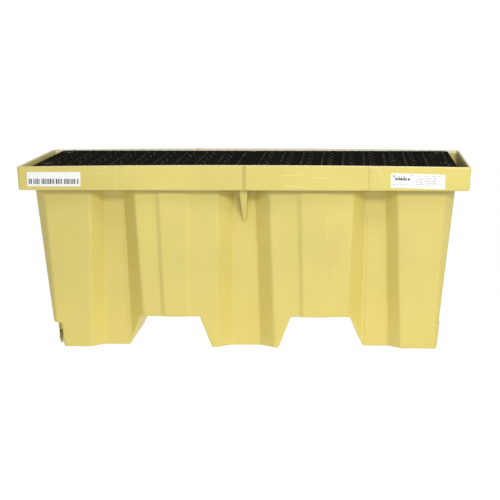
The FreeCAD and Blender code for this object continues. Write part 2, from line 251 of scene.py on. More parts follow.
def moulded_yellow():
    """Rotomoulded polyethylene: soft mottling, faint flow streaks, scuffs and a low sheen, with painted
    light: lighter towards the floor, painted shade in the front rim's groove and under the rim, and painted
    highlights on the rim's top edge and the far rim's inner face.
    """
    n = Nodes("moulded_yellow")
    clouds = n.noise(5.0, 3.0, 0.5)
    streaks = n.noise(14.0, 3.0, 0.5, stretch=(1.0, 1.0, 0.12))
    grain = n.noise(260.0, 2.0, 0.6)
    colour = n.mix(n.ramp(clouds, 0.3, 0.7), tint(YELLOW, 0.955), tint(YELLOW, 1.03))
    colour = n.mix(n.ramp(streaks, 0.45, 0.75, 0.0, 0.35), colour, tint(YELLOW, 1.07))
    x, height = n.axis("X"), n.axis("Z")
    # Painted light: the wall's yellow is made lighter towards the floor, as if more light reached the lower
    # wall.
    lower_wall_painted_light = n.ramp(height, 0.02, 0.30, 1.0, 0.0)
    colour = n.mix(lower_wall_painted_light, colour, (0.715, 0.595, 0.157, 1.0))
    colour = n.mix(n.ramp(grain, 0.35, 0.75, 0.0, 0.12), colour, tint(YELLOW, 0.85))
    dirt = n.times(n.ramp(n.noise(38.0, 6.0, 0.7), 0.56, 0.74), n.ramp(n.noise(3.2, 2.0), 0.4, 0.65))
    colour = n.over(colour, dirt, 0.16, (0.34, 0.29, 0.13, 1.0))
    long_scratch = n.ramp(n.noise(9.0, 2.0, 0.4, stretch=(1.0, 1.0, 28.0)), 0.70, 0.735)
    slant_scratch = n.ramp(n.noise(7.0, 2.0, 0.4, stretch=(22.0, 22.0, 3.0)), 0.715, 0.74)
    patches = n.ramp(n.noise(4.3, 2.0), 0.52, 0.64)
    scratch = n.times(n.math("MAXIMUM", long_scratch, slant_scratch), patches)
    colour = n.over(colour, scratch, 0.5, tint(YELLOW, 1.22))
    front = n.ramp(n.axis("Y"), -0.360, -0.356, 1.0, 0.0)
    # Painted shade: a darker band down the middle of the front rim, where the centre groove lies in shadow.
    groove_painted_shade = n.times(n.stroke((0.002, 0.46), (0.002, 0.60), 0.0085), front)
    colour = n.over(colour, groove_painted_shade, 0.7, (0.46, 0.39, 0.11, 1.0))
    # Painted shade: a dark band on the wall just under the rim, where the rim shades it.
    corner = n.times(n.ramp(height, 0.474, 0.487), n.ramp(height, 0.4895, 0.4910, 1.0, 0.0))
    colour = n.over(colour, corner, 0.6, (0.27, 0.215, 0.065, 1.0))
    arched = n.math("ADD", height, n.times(n.times(x, x), RIM_ARCH / RIM_HALF_LENGTH ** 2 / MM))
    # Painted highlight: a pale band along the rim's arched top edge.
    pale = (0.95, 0.93, 0.70, 1.0)
    colour = n.mix(n.ramp(arched, 0.5620, 0.5655, 0.0, 0.42), colour, pale)
    # Painted light: the inner face of the far rim, just above the deck, is made paler as if more brightly
    # lit.
    far_rim_painted_light = n.times(n.ramp(n.axis("Y"), 0.350, 0.356), n.ramp(arched, 0.552, 0.558))
    colour = n.over(colour, far_rim_painted_light, 0.85, pale)
    marks = n.stroke(*RIM_SCRATCHES[0])
    for stroke in RIM_SCRATCHES[1:]:
        marks = n.math("MAXIMUM", marks, n.stroke(*stroke))
    broken = n.ramp(n.noise(30.0, 3.0, 0.6), 0.34, 0.60)
    marks = n.times(n.times(marks, front), broken)
    colour = n.over(colour, marks, 0.45, (0.93, 0.88, 0.60, 1.0))
    rough = n.ramp(n.noise(30.0, 5.0, 0.65), 0.3, 0.75, 0.40, 0.56)
    wave = n.bump(n.noise(11.0, 1.0, 0.4), 0.35, 0.004)
    skin = n.bump(grain, 0.10, 0.0006, wave)
    normal = n.bump(scratch, 0.25, 0.0004, skin)
    return n.finish(colour, rough, normal, IOR=1.5)


def grate_black():
    """Black polyethylene: faint dust between the nubs; the tops of nubs and lips are paler, partly rubbed
    wear and partly a painted highlight.
    """
    n = Nodes("grate_black")
    dust = n.ramp(n.noise(22.0, 6.0, 0.7), 0.35, 0.75)
    fine = n.ramp(n.noise(420.0, 3.0, 0.7), 0.4, 0.7)
    colour = n.mix(dust, (0.0150, 0.0138, 0.0115, 1.0), (0.0260, 0.0240, 0.0200, 1.0))
    colour = n.over(colour, fine, 0.35, (0.030, 0.0275, 0.023, 1.0))
    # Partly real wear, partly painted highlight: the tops of the nubs and lips are made paler.
    height = n.ramp(n.axis("Z"), (DECK_TOP + 1.0) * MM, (DECK_TOP + 2.0) * MM)
    wear_and_painted_highlight = n.times(height, n.ramp(n.noise(75.0, 4.0, 0.7), 0.44, 0.64))
    colour = n.over(colour, wear_and_painted_highlight, 0.5, (0.36, 0.35, 0.31, 1.0))
    rough = n.ramp(n.noise(60.0, 4.0, 0.6), 0.3, 0.7, 0.80, 0.92)
    normal = n.bump(n.noise(520.0, 2.0, 0.6), 0.18, 0.0005)
    return n.finish(colour, rough, normal, Specular_IOR_Level=0.0)


def grey_pvc():
    """Extruded pipe: fine lengthwise drawing lines and handling scuffs."""
    n = Nodes("grey_pvc")
    base = srgb(222, 220, 212)
    lines = n.noise(90.0, 3.0, 0.6, stretch=(1.0, 1.0, 0.02))
    clouds = n.ramp(n.noise(9.0, 4.0), 0.35, 0.7)
    colour = n.mix(clouds, tint(base, 0.90), base)
    colour = n.mix(n.ramp(lines, 0.5, 0.75, 0.0, 0.25), colour, tint(base, 0.78))
    scuff = n.ramp(n.noise(34.0, 5.0, 0.75), 0.62, 0.72)
    colour = n.over(colour, scuff, 0.35, (0.23, 0.21, 0.18, 1.0))
    rough = n.ramp(n.noise(45.0, 4.0), 0.3, 0.7, 0.26, 0.44)
    return n.finish(colour, rough, n.bump(lines, 0.08, 0.0004), IOR=1.52)


def mottled(name, cloud, colours, marks, strength, paint, rough, grain, bump, distance):
    """Two colours in clouds under marks of a third. A pattern is its noise values, then its ramp's."""
    n = Nodes(name)

    def pattern(noise, *limits):
        return n.ramp(n.noise(*noise), *limits)

    colour = n.over(n.mix(pattern(*cloud), *colours), pattern(*marks), strength, paint)
    return n.finish(colour, pattern(*rough), n.bump(n.noise(*grain), bump, distance), IOR=1.5)


def cap_black():
    """Injection-moulded caps: even, slightly glossy black with fine scratches."""
    colours = (0.012, 0.012, 0.013, 1.0), (0.024, 0.024, 0.025, 1.0)
    scratches = (60.0, 3.0, 0.5, (1.0, 9.0, 1.0)), 0.64, 0.70
    return mottled("cap_black", ((35.0, 4.0), 0.35, 0.7), colours, scratches, 0.4, (0.08, 0.08, 0.078, 1.0),
                   ((80.0, 4.0), 0.3, 0.7, 0.30, 0.48), (600.0, 2.0), 0.10, 0.0003)


def plug_ochre():
    """Glass-filled plastic of the plug, coloured like the tub: matt, with darker handling marks."""
    colours = (0.30, 0.235, 0.060, 1.0), (0.42, 0.34, 0.095, 1.0)
    handling = (60.0, 5.0, 0.7), 0.58, 0.72
    return mottled("plug_ochre", ((120.0, 5.0, 0.7), 0.35, 0.7), colours, handling, 0.4,
                   (0.12, 0.09, 0.03, 1.0), ((200.0, 4.0), 0.3, 0.7, 0.38, 0.6), (1400.0, 2.0), 0.2, 0.0002)


def film(name, base, low, high):
    """Printed vinyl film: faint yellowing, rubbed patches and a soft gloss."""
    colours = base, tint(base, 0.90 if base[0] > 0.3 else 2.2)
    grime = (24.0, 5.0, 0.7), 0.55, 0.75
    return mottled(name, ((60.0, 5.0, 0.7), 0.4, 0.75), colours, grime, 0.18, (0.42, 0.38, 0.25, 1.0),
                   ((90.0, 4.0), 0.3, 0.7, low, high), (140.0, 3.0), 0.12, 0.0003)


def brass():
    """Turned brass: tool marks round the bore and dull brown spots."""
    n = Nodes("turned_brass")
    marks = n.noise(30.0, 2.0, 0.5, stretch=(120.0, 1.0, 1.0))
    spots = n.ramp(n.noise(160.0, 5.0, 0.7), 0.52, 0.68)
    colour = n.mix(n.ramp(marks, 0.35, 0.7), (0.62, 0.42, 0.15, 1.0), (0.78, 0.57, 0.25, 1.0))
    colour = n.over(colour, spots, 0.6, (0.20, 0.12, 0.045, 1.0))
    rough = n.ramp(spots, 0.0, 1.0, 0.26, 0.55)
    return n.finish(colour, rough, n.bump(marks, 0.2, 0.0002), Metallic=1.0)


def gasket_rubber():
    """Moulded tan rubber with a dry pale bloom."""
    n = Nodes("gasket_rubber")
    bloom = n.ramp(n.noise(190.0, 5.0, 0.7), 0.4, 0.7)
    colour = n.mix(bloom, (0.055, 0.042, 0.020, 1.0), (0.11, 0.09, 0.05, 1.0))
    rough = n.ramp(bloom, 0.0, 1.0, 0.6, 0.85)
    return n.finish(colour, rough, n.bump(n.noise(900.0, 3.0), 0.3, 0.0002), IOR=1.5)


def studio_white(name, glow):
    """Pale matt studio surface, lit from within so that it stays white under the object."""
    n = Nodes(name)
    clouds = n.ramp(n.noise(1.5, 3.0), 0.3, 0.7)
    colour = n.mix(clouds, (0.115, 0.115, 0.113, 1.0), (0.125, 0.125, 0.123, 1.0))
    n.put(n.shader, {"Emission Color": (1.0, 1.0, 1.0, 1.0), "Emission Strength": glow})
    return n.finish(colour, 0.9, None, Specular_IOR_Level=0.0)


# ---- Mesh helpers ----
@contextmanager
def edited(mesh):
    """The mesh as an editable copy, written back afterwards with all its faces turned outwards."""
    work = bmesh.new()
    work.from_mesh(mesh)
    yield work
    bmesh.ops.recalc_face_normals(work, faces=work.faces)
    work.to_mesh(mesh)
    work.free()


def make_object(name, points, faces, materials, face_slots=None, smooth=True):
    """A mesh object from points in millimetres."""
    mesh = bpy.data.meshes.new(name)
    places = (np.asarray(points, dtype=float) * MM).tolist()
    mesh.from_pydata(places, [], [tuple(int(i) for i in face) for face in faces])
    for material in materials:
        mesh.materials.append(material)
    if face_slots is not None:
        mesh.polygons.foreach_set("material_index", np.asarray(face_slots, dtype=np.int32))
    with edited(mesh):
        pass  # only to turn the faces outwards
    mesh.polygons.foreach_set("use_smooth", [smooth] * len(mesh.polygons))
    mesh.update()
    piece = bpy.data.objects.new(name, mesh)
    bpy.context.collection.objects.link(piece)
    return piece


def weld(piece, distance=0.02):
    """Merges doubled vertices, in millimetres, and turns all faces outwards."""
    with edited(piece.data) as work:
        bmesh.ops.remove_doubles(work, verts=work.verts, dist=distance * MM)
    piece.data.update()


def ring_faces(rows, count, closed=False):
    """Quads between successive closed rows of count points, and from the last back to the first if closed."""
    faces = []
    for r in range(rows if closed else rows - 1):
        low, high = r * count, (r + 1) % rows * count
        for i in range(count):
            j = (i + 1) % count
            faces.append((low + i, low + j, high + j, high + i))
    return faces


def end_caps(rows, count):
    """The first and the last face of a stack of closed rows."""
    last = (rows - 1) * count
    return [tuple(range(count))[::-1], tuple(range(last, last + count))]


def circle(x, y, radius, count):
    angles = [2 * math.pi * k / count for k in range(count)]
    return [(x + radius * math.cos(a), y + radius * math.sin(a)) for a in angles]


def unit(vectors):
    return vectors / np.maximum(np.linalg.norm(vectors, axis=-1, keepdims=True), 1e-9)


def smoothstep(value, low, high):
    t = np.clip((np.asarray(value, dtype=float) - low) / (high - low), 0.0, 1.0)
    return t * t * (3.0 - 2.0 * t)


def fade(value, low, high):
    """1 up to low, 0 from high on."""
    return 1 - smoothstep(value, low, high)


def line_at(at, stops, line):
    """Points of a plane line at places between its stops."""
    return np.stack([np.interp(at, stops, line[:, k]) for k in (0, 1)], axis=1)


def blur_loop(values, sigma):
    """Gaussian blur round a closed run of samples."""
    reach = int(4 * sigma) + 1
    offsets = np.arange(-reach, reach + 1)
    kernel = np.exp(-0.5 * (offsets / sigma) ** 2)
    kernel /= kernel.sum()
    padded = np.concatenate([values[-reach:], values, values[:reach]])
    return np.stack([np.convolve(padded[:, k], kernel, mode="valid") for k in range(values.shape[1])], axis=1)


def loop_normals(points):
    """Outward plan normals of a closed counter-clockwise run."""
    ahead = np.roll(points, -1, axis=0) - np.roll(points, 1, axis=0)
    return unit(np.stack([ahead[:, 1], -ahead[:, 0]], axis=1))


# ---- Tub outline, sampled densely round the perimeter ----
SAMPLE = 1.0
EDGE_BLUR = 3.2


def mirrored(half):
    return [(-a, d) for a, d in reversed(half)] + list(half)


def plan_corners(level):
    """Corner points of the sump's plan, at the floor (0) or under the rim (1)."""
    half_length, half_width = BODY_HALF_LENGTH[level], BODY_HALF_WIDTH[level]
    front = [(row[1 - level], row[2]) for row in FRONT_RUN]
    end = [(row[1 - level], row[2]) for row in END_RUN]
    points = [(a, d - half_width) for a, d in mirrored(front)]
    points += [(half_length - d, a) for a, d in mirrored(end)]
    return np.array(points + [(-x, -y) for x, y in points], dtype=float)


class Plan:
    """The sump's plan outlines at the floor and under the rim, as matching dense loops."""

    def __init__(self):
        low, high = plan_corners(0), plan_corners(1)
        count = len(low)
        self.front_end = count // 2 - 2 * len(END_RUN)
        spans = 0.5 * (np.linalg.norm(np.roll(low, -1, 0) - low, axis=1)
                       + np.linalg.norm(np.roll(high, -1, 0) - high, axis=1))
        steps = np.maximum(2, np.round(spans / SAMPLE)).astype(int)
        self.corner_at = np.concatenate([[0], np.cumsum(steps)])
        floor, top = [], []
        for i in range(count):
            share = (np.arange(steps[i]) / steps[i])[:, None]
            floor.append(low[i] * (1 - share) + low[(i + 1) % count] * share)
            top.append(high[i] * (1 - share) + high[(i + 1) % count] * share)
        self.raw_top = np.concatenate(top)
        self.floor = blur_loop(np.concatenate(floor), EDGE_BLUR)
        self.top = blur_loop(self.raw_top, EDGE_BLUR)
        self.size = len(self.floor)
        self.floor_normal = loop_normals(self.floor)
        self.top_normal = loop_normals(self.top)

    def pick(self, dense, u):
        """Values of a dense loop at fractional sample numbers."""
        base = np.floor(u).astype(int)
        share = (u - base)[:, None]
        return dense[base % self.size] * (1 - share) + dense[(base + 1) % self.size] * share

    def between(self, floor, top, u, z):
        """Values between a loop at the floor and one under the rim, at heights z."""
        share = (np.asarray(z, dtype=float) * np.ones(len(u)) / RIM_BOTTOM)[:, None]
        return self.pick(floor, u) * (1 - share) + self.pick(top, u) * share

    def at(self, u, z, inset=0.0):
        """Plan points of the wall at heights z, moved inwards by inset."""
        floor, top = self.floor - inset * self.floor_normal, self.top - inset * self.top_normal
        return self.between(floor, top, u, z)

    def normal(self, u, z):
        return unit(self.between(self.floor_normal, self.top_normal, u, z))

    def front_u(self, x, z, inset=0.0):
        """Sample numbers on the front wall where it passes x at height z."""
        last = self.corner_at[self.front_end - 1]
        dense = np.arange(0, last + 1, dtype=float)
        floor = (self.floor - inset * self.floor_normal)[:last + 1, 0]
        top = (self.top - inset * self.top_normal)[:last + 1, 0]
        answer = np.empty(len(x))
        for i, share in enumerate(z / RIM_BOTTOM):
            run = np.maximum.accumulate(floor * (1 - share) + top * share + dense * 1e-7)
            answer[i] = np.interp(x[i], run, dense)
        return answer


def foot_path():
    """Dense lower edge of the front wall from x = 0 outwards: points, normals, arc length."""
    corners = [np.array([x, z]) for x, z, _ in FOOT_EDGE]
    radii = [r for _, _, r in FOOT_EDGE]
    start, finish = np.array([0.0, 0.0]), np.array([FRONT_RUN[-1][1], 0.0])
    stops = [start] + corners + [finish]
    line = [start]
    for i, corner in enumerate(corners):
        back = unit(stops[i] - corner)
        ahead = unit(stops[i + 2] - corner)
        half = math.acos(float(np.clip(np.dot(back, ahead), -1, 1))) / 2
        reach = radii[i] / math.tan(half)
        a, b = corner + back * reach, corner + ahead * reach
        for t in np.linspace(0, 1, 9):
            line.append(a * (1 - t) ** 2 + corner * 2 * t * (1 - t) + b * t ** 2)
    line.append(finish)
    line = np.array(line)
    length = np.concatenate([[0], np.cumsum(np.linalg.norm(np.diff(line, axis=0), axis=1))])
    s = np.arange(0, length[-1], 0.25)
    points = line_at(s, length, line)
    ahead = unit(np.gradient(points, axis=0))
    normals = np.stack([-ahead[:, 1], ahead[:, 0]], axis=1)
    return points, normals, s


def spaced(position, step):
    """Indices into a dense run so that neighbours are about step apart."""
    weight = np.concatenate([[0], np.cumsum(np.diff(position) / ((step[1:] + step[:-1]) / 2))])
    count = max(2, int(round(weight[-1])))
    return np.interp(np.linspace(0, weight[-1], count + 1), weight, np.arange(len(position)))


PANEL_INSET = 1.8
PANEL_EDGE = (369.0, 378.0)
GROOVE = 2.0
GROOVE_EDGE = (3.0, 9.0)
# Beyond these distances from the middle the rim's samples are stretched out to its corners.
FRONT_STRETCH = 520.0
END_STRETCH = 200.0

# Where the front's columns are denser: (x under the rim, half width, spacing).
FEATURE_X = ((6.0, 7.0, 1.7), (374.0, 6.0, 2.2), (186.0, 14.0, 3.2))
COARSE = 6.0


SPREAD = 0.3
EDGE_STEP = 2.4
FOOT_STEP = 1.9
GROOVE_STEP = 1.7


def denser(step, finest, away):
    """The steps, held to the finest at a feature and to a little more the further away it is."""
    return np.minimum(step, finest + SPREAD * np.maximum(0, away))


def front_columns():
    """Lower edge points, their normals and the sample number of each front column, left to right."""
    points, normals, s = foot_path()
    step = np.full(len(s), COARSE)
    for top_x, floor_x, _ in FRONT_RUN:
        vertex = floor_x + (top_x - floor_x) * points[:, 1] / RIM_BOTTOM
        step = denser(step, EDGE_STEP, np.abs(points[:, 0] - vertex))
    for x, z, r in FOOT_EDGE:
        step = denser(step, FOOT_STEP, np.hypot(points[:, 0] - x, points[:, 1] - z) - r)
    tops = np.array([0.0] + [row[0] for row in FRONT_RUN])
    floors = np.array([0.0] + [row[1] for row in FRONT_RUN])
    under_rim = np.array([np.interp(x, floors + (tops - floors) * z / RIM_BOTTOM, tops) for x, z in points])
    for x, half, fine in FEATURE_X:
        step = denser(step, fine, np.abs(under_rim - x) - half)
    at, indices = spaced(s, step), np.arange(len(s))
    x, z = line_at(at, indices, points).T
    normal = unit(line_at(at, indices, normals))
    x, z = np.concatenate([-x[:0:-1], x]), np.concatenate([z[:0:-1], z])
    normal = np.concatenate([normal[:0:-1] * (-1, 1), normal])
    return x, z, normal


def end_columns(plan):
    """Sample numbers of the columns of the right end, its corners included."""
    first = plan.corner_at[plan.front_end - 1]
    last = plan.corner_at[len(plan.corner_at) // 2]
    u = np.arange(first, last + 0.5)
    step = np.full(len(u), COARSE)
    for k in range(plan.front_end - 1, len(plan.corner_at) // 2 + 1):
        step = denser(step, EDGE_STEP, np.abs(u - plan.corner_at[k]))
    middle = (first + last) / 2
    step = denser(step, GROOVE_STEP, np.abs(u - middle) - 10)
    at = spaced(u, step)
    return np.interp(at, np.arange(len(u)), u)[1:-1]


def stretched(value, inner, outer_from, outer_to):
    """Keeps |value| below inner and stretches the rest so that outer_from lands on outer_to."""
    size = np.abs(value)
    far = inner + (size - inner) * (outer_to - inner) / (outer_from - inner)
    return np.sign(value) * np.where(size > inner, far, size)


def rim_loop(plan):
    """Dense outer top outline of the rim, with its outward normals and how far each sample is inset."""
    at = plan.corner_at
    front_last, end_first = at[plan.front_end - 1], at[plan.front_end]
    end_last, back_first = at[len(at) // 2 - 1], at[len(at) // 2]
    arc_x, arc_y = RIM_HALF_LENGTH - RIM_CORNER, RIM_HALF_WIDTH - RIM_CORNER
    u = np.arange(back_first)
    raw = plan.raw_top[:back_first]
    front_x = stretched(raw[:, 0], FRONT_STRETCH, FRONT_RUN[-1][0], arc_x)
    end_y = stretched(raw[:, 1], END_STRETCH, END_RUN[-1][0], arc_y)
    loop = np.stack([front_x, np.full(len(u), -RIM_HALF_WIDTH)], axis=1)
    inset = PANEL_INSET * fade(np.abs(front_x), *PANEL_EDGE) + GROOVE * fade(np.abs(front_x), *GROOVE_EDGE)
    end = (u >= end_first) & (u <= end_last)
    loop[end] = np.stack([np.full(end.sum(), RIM_HALF_LENGTH), end_y[end]], axis=1)
    inset[end] = GROOVE * fade(np.abs(end_y[end]), *GROOVE_EDGE)
    for first, last, side in ((front_last, end_first, -1), (end_last, back_first, 1)):
        arc = (u > first) & (u < last)
        angle = math.pi / 2 * ((u[arc] - first) / (last - first) - (side < 0))
        loop[arc] = (arc_x, side * arc_y) + RIM_CORNER * np.stack([np.cos(angle), np.sin(angle)], axis=1)
        inset[arc] = 0.0
    loop = blur_loop(np.concatenate([loop, -loop]), 1.2)
    return loop, loop_normals(loop), np.concatenate([inset, inset])[:, None]


def rim_top_at(x, y):
    """Height of the rim's top edge: slightly arched along its length, with two low bumps at the back."""
    top = RIM_TOP - RIM_ARCH * (x / RIM_HALF_LENGTH) ** 2
    bumps = sum(np.exp(-((x - place) / BUMP_WIDTH) ** 2) for place in (BUMP_X, -BUMP_X))
    return top + BUMP_HEIGHT * smoothstep(y, *BACK) * (bumps - 1)


# ---- The tub, as one closed skin of rows and columns ----
# Heights of the wall's rows. The rows of the drain pocket's ceiling add where they run there: at a share of
# the gap between its inner wall and the plain wall, shifted outwards by some mm, and at a height of its own.
LOW_ROWS = (16.0, 30.0, 44.0, 56.0, 64.0)
CEILING_ROWS = (
    (67.0, (0.0, 0.0, 67.0)), (69.5, (0.0, 0.0, 69.2)), (71.5, (0.0, 0.8, 72.0)), (73.0, (0.0, 3.0, 74.2)),
    (74.5, (0.0, 6.0, 75.0)), (76.0, (0.5, 0.0, 75.0)), (77.5, (1.0, -8.0, 75.0)), (79.0, (1.0, -4.0, 76.1)),
    (81.0, (1.0, -1.1, 79.0)), (83.0, (1.0, 0.0, 83.0)),
)
OUTER_ROWS = (92.0, 112.0, 142.0, 180.0, 225.0, 275.0, 325.0, 370.0, 410.0, 442.0, 466.0)
INNER_ROWS = (110.0, 170.0, 250.0, 340.0, 430.0, 475.0)


UNFOLD_ROUNDS = 400
POCKET_SAMPLES = 97
POCKET_SOFTENING = 14
POCKET_EASE = 40.0
CEILING_DEPTH = 17.0


def unfolded(ring, guide):
    """The ring with its folded-back stretches, as against its guide, drawn together to one place."""
    ring = ring.copy()
    ahead = np.roll(guide, -1, 0) - guide
    for _ in range(UNFOLD_ROUNDS):
        back = np.flatnonzero(((np.roll(ring, -1, 0) - ring) * ahead).sum(axis=1) < -1e-9)
        if not len(back):
            break
        for i in back:
            j = (i + 1) % len(ring)
            ring[i] = ring[j] = (ring[i] + ring[j]) / 2
    return ring


class Tub:
    """Columns round the perimeter, and the rows of points that they carry."""

    def __init__(self):
        self.plan = plan = Plan()
        self.foot_x, self.foot_z, self.foot_n = front_columns()
        self.end_u = end_columns(plan)
        self.front, self.end = len(self.foot_x), len(self.end_u)
        self.count = 2 * (self.front + self.end)
        self.rim, self.rim_n, self.rim_inset = rim_loop(plan)

    def layer(self, inset):
        """Sample numbers and heights of the wall's lowest row, then of its foot, in the skin at inset."""
        half = self.plan.size // 2
        found = []
        for away in (inset + FLOOR_FILLET, inset):
            x, z = self.foot_x + self.foot_n[:, 0] * away, self.foot_z + self.foot_n[:, 1] * away
            front = self.plan.front_u(x, z, inset)
            flat = np.full(self.end, float(away))
            found.append(np.concatenate([front, self.end_u, front + half, self.end_u + half]))
            found.append(np.concatenate([z, flat, z, flat]))
        return found

    def blank(self, u, z):
        """How far the corner without a drain stands proud."""
        plan = self.plan
        first = plan.front_u(np.array([BLANK_FRONT]), np.array([POCKET_LEVEL]))[0]
        last = plan.corner_at[plan.front_end + 1] - BLANK_END
        weight = smoothstep(u, first - 5, first + 5) * fade(u, last - 5, last + 5)
        return BLANK_STEP * weight * fade(z, BLANK_TOP, BLANK_TOP + 3.0)

    def pocket(self, u):
        """Share of the way round the pocket's wall for its columns, else nan, with the pocket's two ends."""
        plan, run = self.plan, self.plan.size
        dense = np.arange(run // 2 + plan.corner_at[plan.front_end], run, dtype=float)
        back = float(np.interp(-POCKET_BACK, -plan.at(dense, POCKET_LEVEL)[:, 1], dense))
        front = plan.front_u(np.array([-POCKET_FRONT]), np.array([POCKET_LEVEL]))[0] + run
        turned = np.where(u < run / 2, u + run, u)
        share = (turned - back) / (front - back)
        return np.where((share > 0) & (share < 1), share, np.nan), turned, back, front

    def pocket_wall(self, share, z, inset):
        """Plan points of the pocket's inner wall: along its back, round the corner, and forwards."""
        level = z / RIM_BOTTOM
        end_x = -(BODY_HALF_LENGTH[0] + (BODY_HALF_LENGTH[1] - BODY_HALF_LENGTH[0]) * level) + inset
        front_y = -(BODY_HALF_WIDTH[0] + (BODY_HALF_WIDTH[1] - BODY_HALF_WIDTH[0]) * level) + inset
        face_x = POCKET_FACE[0] + (POCKET_FACE[1] - POCKET_FACE[0]) * z / POCKET_TOP + inset
        back_y = POCKET_BACK + inset
        stops = np.array([[end_x, back_y], [face_x, back_y], [face_x, front_y]])
        first, second = np.linalg.norm(stops[1] - stops[0]), np.linalg.norm(stops[2] - stops[1])
        dense = np.linspace(0, 1, POCKET_SAMPLES)
        at = dense * (first + second)
        soft = line_at(at, [0, first, first + second], stops)
        for _ in range(POCKET_SOFTENING):
            soft[1:-1] = 0.25 * soft[:-2] + 0.5 * soft[1:-1] + 0.25 * soft[2:]
        return line_at(share, dense, soft)

    def wall_row(self, u, z, inset, ceiling=None):
        """Points of one row of a skin, with the pocket and the blanked corner worked in."""
        plan = self.plan
        xy = plan.at(u, z, inset) + plan.normal(u, z) * self.blank(u, z)[:, None]
        z = np.array(z * np.ones(len(u)))
        share, turned, back, front = self.pocket(u)
        row_z = float(np.min(z))
        crown = POCKET_TOP + POCKET_CONVEX + inset
        inside = ~np.isnan(share)
        if row_z < crown + POCKET_FADE:
            weight = fade(row_z, crown, crown + POCKET_FADE)
            ends = self.pocket_wall(np.array([0.0, 1.0]), min(row_z, POCKET_TOP), inset)
            here = plan.at(np.array([back, front]), row_z, inset)
            for k, centre in enumerate((back, front)):
                near = np.clip(1 - np.abs(turned - centre) / POCKET_EASE, 0, 1) * weight
                xy[~inside, 1 - k] += (near * (ends[k, 1 - k] - here[k, 1 - k]))[~inside]
        if inside.any() and row_z < crown - 0.01:
            xy[inside] = inner = self.pocket_wall(share[inside], min(row_z, POCKET_TOP), inset)
            if ceiling:
                across, shift, height = ceiling
                outer = plan.at(u[inside], POCKET_TOP + POCKET_CONVEX, inset)
                gap = np.linalg.norm(outer - inner, axis=1)
                scale = np.minimum(1.0, gap / CEILING_DEPTH)
                away = across * gap + shift * scale
                xy[inside] = inner + (outer - inner) * (away / np.maximum(gap, 1e-6))[:, None]
                z[inside] = z[inside] * (1 - scale) + (height + inset) * scale
        return np.column_stack([xy, z])

    def skin(self, inset, upper, top):
        """Rows of one skin from its floor ring up to height top."""
        u, start, foot_u, foot_z = self.layer(inset)
        rise = inset + FLOOR_FILLET
        first = self.wall_row(u, start, inset)
        foot = self.wall_row(foot_u, foot_z, inset)
        foot[:, 2] = foot_z
        inward = -self.plan.normal(u, start)
        in_pocket = ~np.isnan(self.pocket(u)[0])
        inward[in_pocket] = -loop_normals(first[:, :2])[in_pocket]
        rows = []
        for degrees in (90, 66, 44, 22):
            angle = math.radians(degrees)
            row = foot + (first - foot) * (1 - math.sin(angle))
            row[:, :2] += inward * FLOOR_FILLET * (1 - math.cos(angle))
            rows.append(unfolded(row, first))
        rows.append(first)
        steps = [(z + inset, None) for z in LOW_ROWS] + [(z + inset, ceiling) for z, ceiling in CEILING_ROWS]
        steps += [(z, None) for z in upper] + [(top, None)]
        for z, ceiling in steps:
            height = start + (top - start) * (z - rise) / (top - rise)
            height[np.abs(start - rise) < 0.01] = z
            rows.append(self.wall_row(u, height, inset, ceiling))
        return u, rows

    def rim_row(self, u, inset, z):
        """Points of the rim at heights z, moved in by its draft there and by inset."""
        plan = self.plan
        draft = RIM_DRAFT * (RIM_TOP - z) / (RIM_TOP - RIM_BOTTOM)
        away = plan.pick(self.rim_inset, u)[:, 0] + draft + inset
        xy = plan.pick(self.rim, u) - plan.pick(self.rim_n, u) * away[:, None]
        return np.column_stack([xy, z * np.ones(len(u))])

    def rows(self):
        """Every row of the tub, from the outside of its floor over the rim to the inside of its floor."""
        plan = self.plan
        u, rows = self.skin(0.0, OUTER_ROWS, RIM_BOTTOM - RIM_FILLET)
        inner_u, inner = self.skin(WALL, INNER_ROWS, SHELF_TOP - BRINK)
        quarter = [(1 - math.sin(a), 1 - math.cos(a)) for a in map(math.radians, (30, 60, 90))]

        def level(xy, z):
            return np.column_stack([xy, np.full(len(u), z)])

        for left, out in quarter:
            z = RIM_BOTTOM - RIM_FILLET * left
            rows.append(level(plan.at(u, z) + plan.normal(u, RIM_BOTTOM) * RIM_FILLET * out, z))
        edge = self.rim_row(u, RIM_EDGE, RIM_BOTTOM)
        rows += [(rows[-1] + edge) / 2, edge]
        rows += [self.rim_row(u, RIM_EDGE * left, RIM_BOTTOM + RIM_EDGE * out) for left, out in quarter]
        top = rim_top_at(*self.rim_row(u, 0.0, RIM_TOP)[:, :2].T)
        low = RIM_BOTTOM + RIM_EDGE
        for share in (0.22, 0.48, 0.74, 0.92, 1.0):
            rows.append(self.rim_row(u, 0.0, low + (top - LIP - low) * share))
        for a in map(math.radians, (34, 68, 90, 112, 146, 180)):
            rows.append(self.rim_row(u, LIP * (1 - math.cos(a)), top - LIP * (1 - math.sin(a))))
        low = SHELF_TOP + RIM_EDGE
        rows += [self.rim_row(u, WALL, top - LIP + (low - top + LIP) * share) for share in (0.3, 0.65, 1.0)]
        rows += [self.rim_row(u, WALL + RIM_EDGE * out, SHELF_TOP + RIM_EDGE * left) for left, out in quarter]
        brink = plan.at(inner_u, SHELF_TOP, WALL)
        shelf = level(brink + plan.normal(inner_u, SHELF_TOP) * BRINK, SHELF_TOP)
        rows += [(rows[-1] + shelf) / 2, shelf]
        for left, out in quarter[:2]:
            z = SHELF_TOP - BRINK * out
            rows.append(level(plan.at(inner_u, z, WALL) + plan.normal(inner_u, z) * BRINK * left, z))
        return rows + inner[::-1]

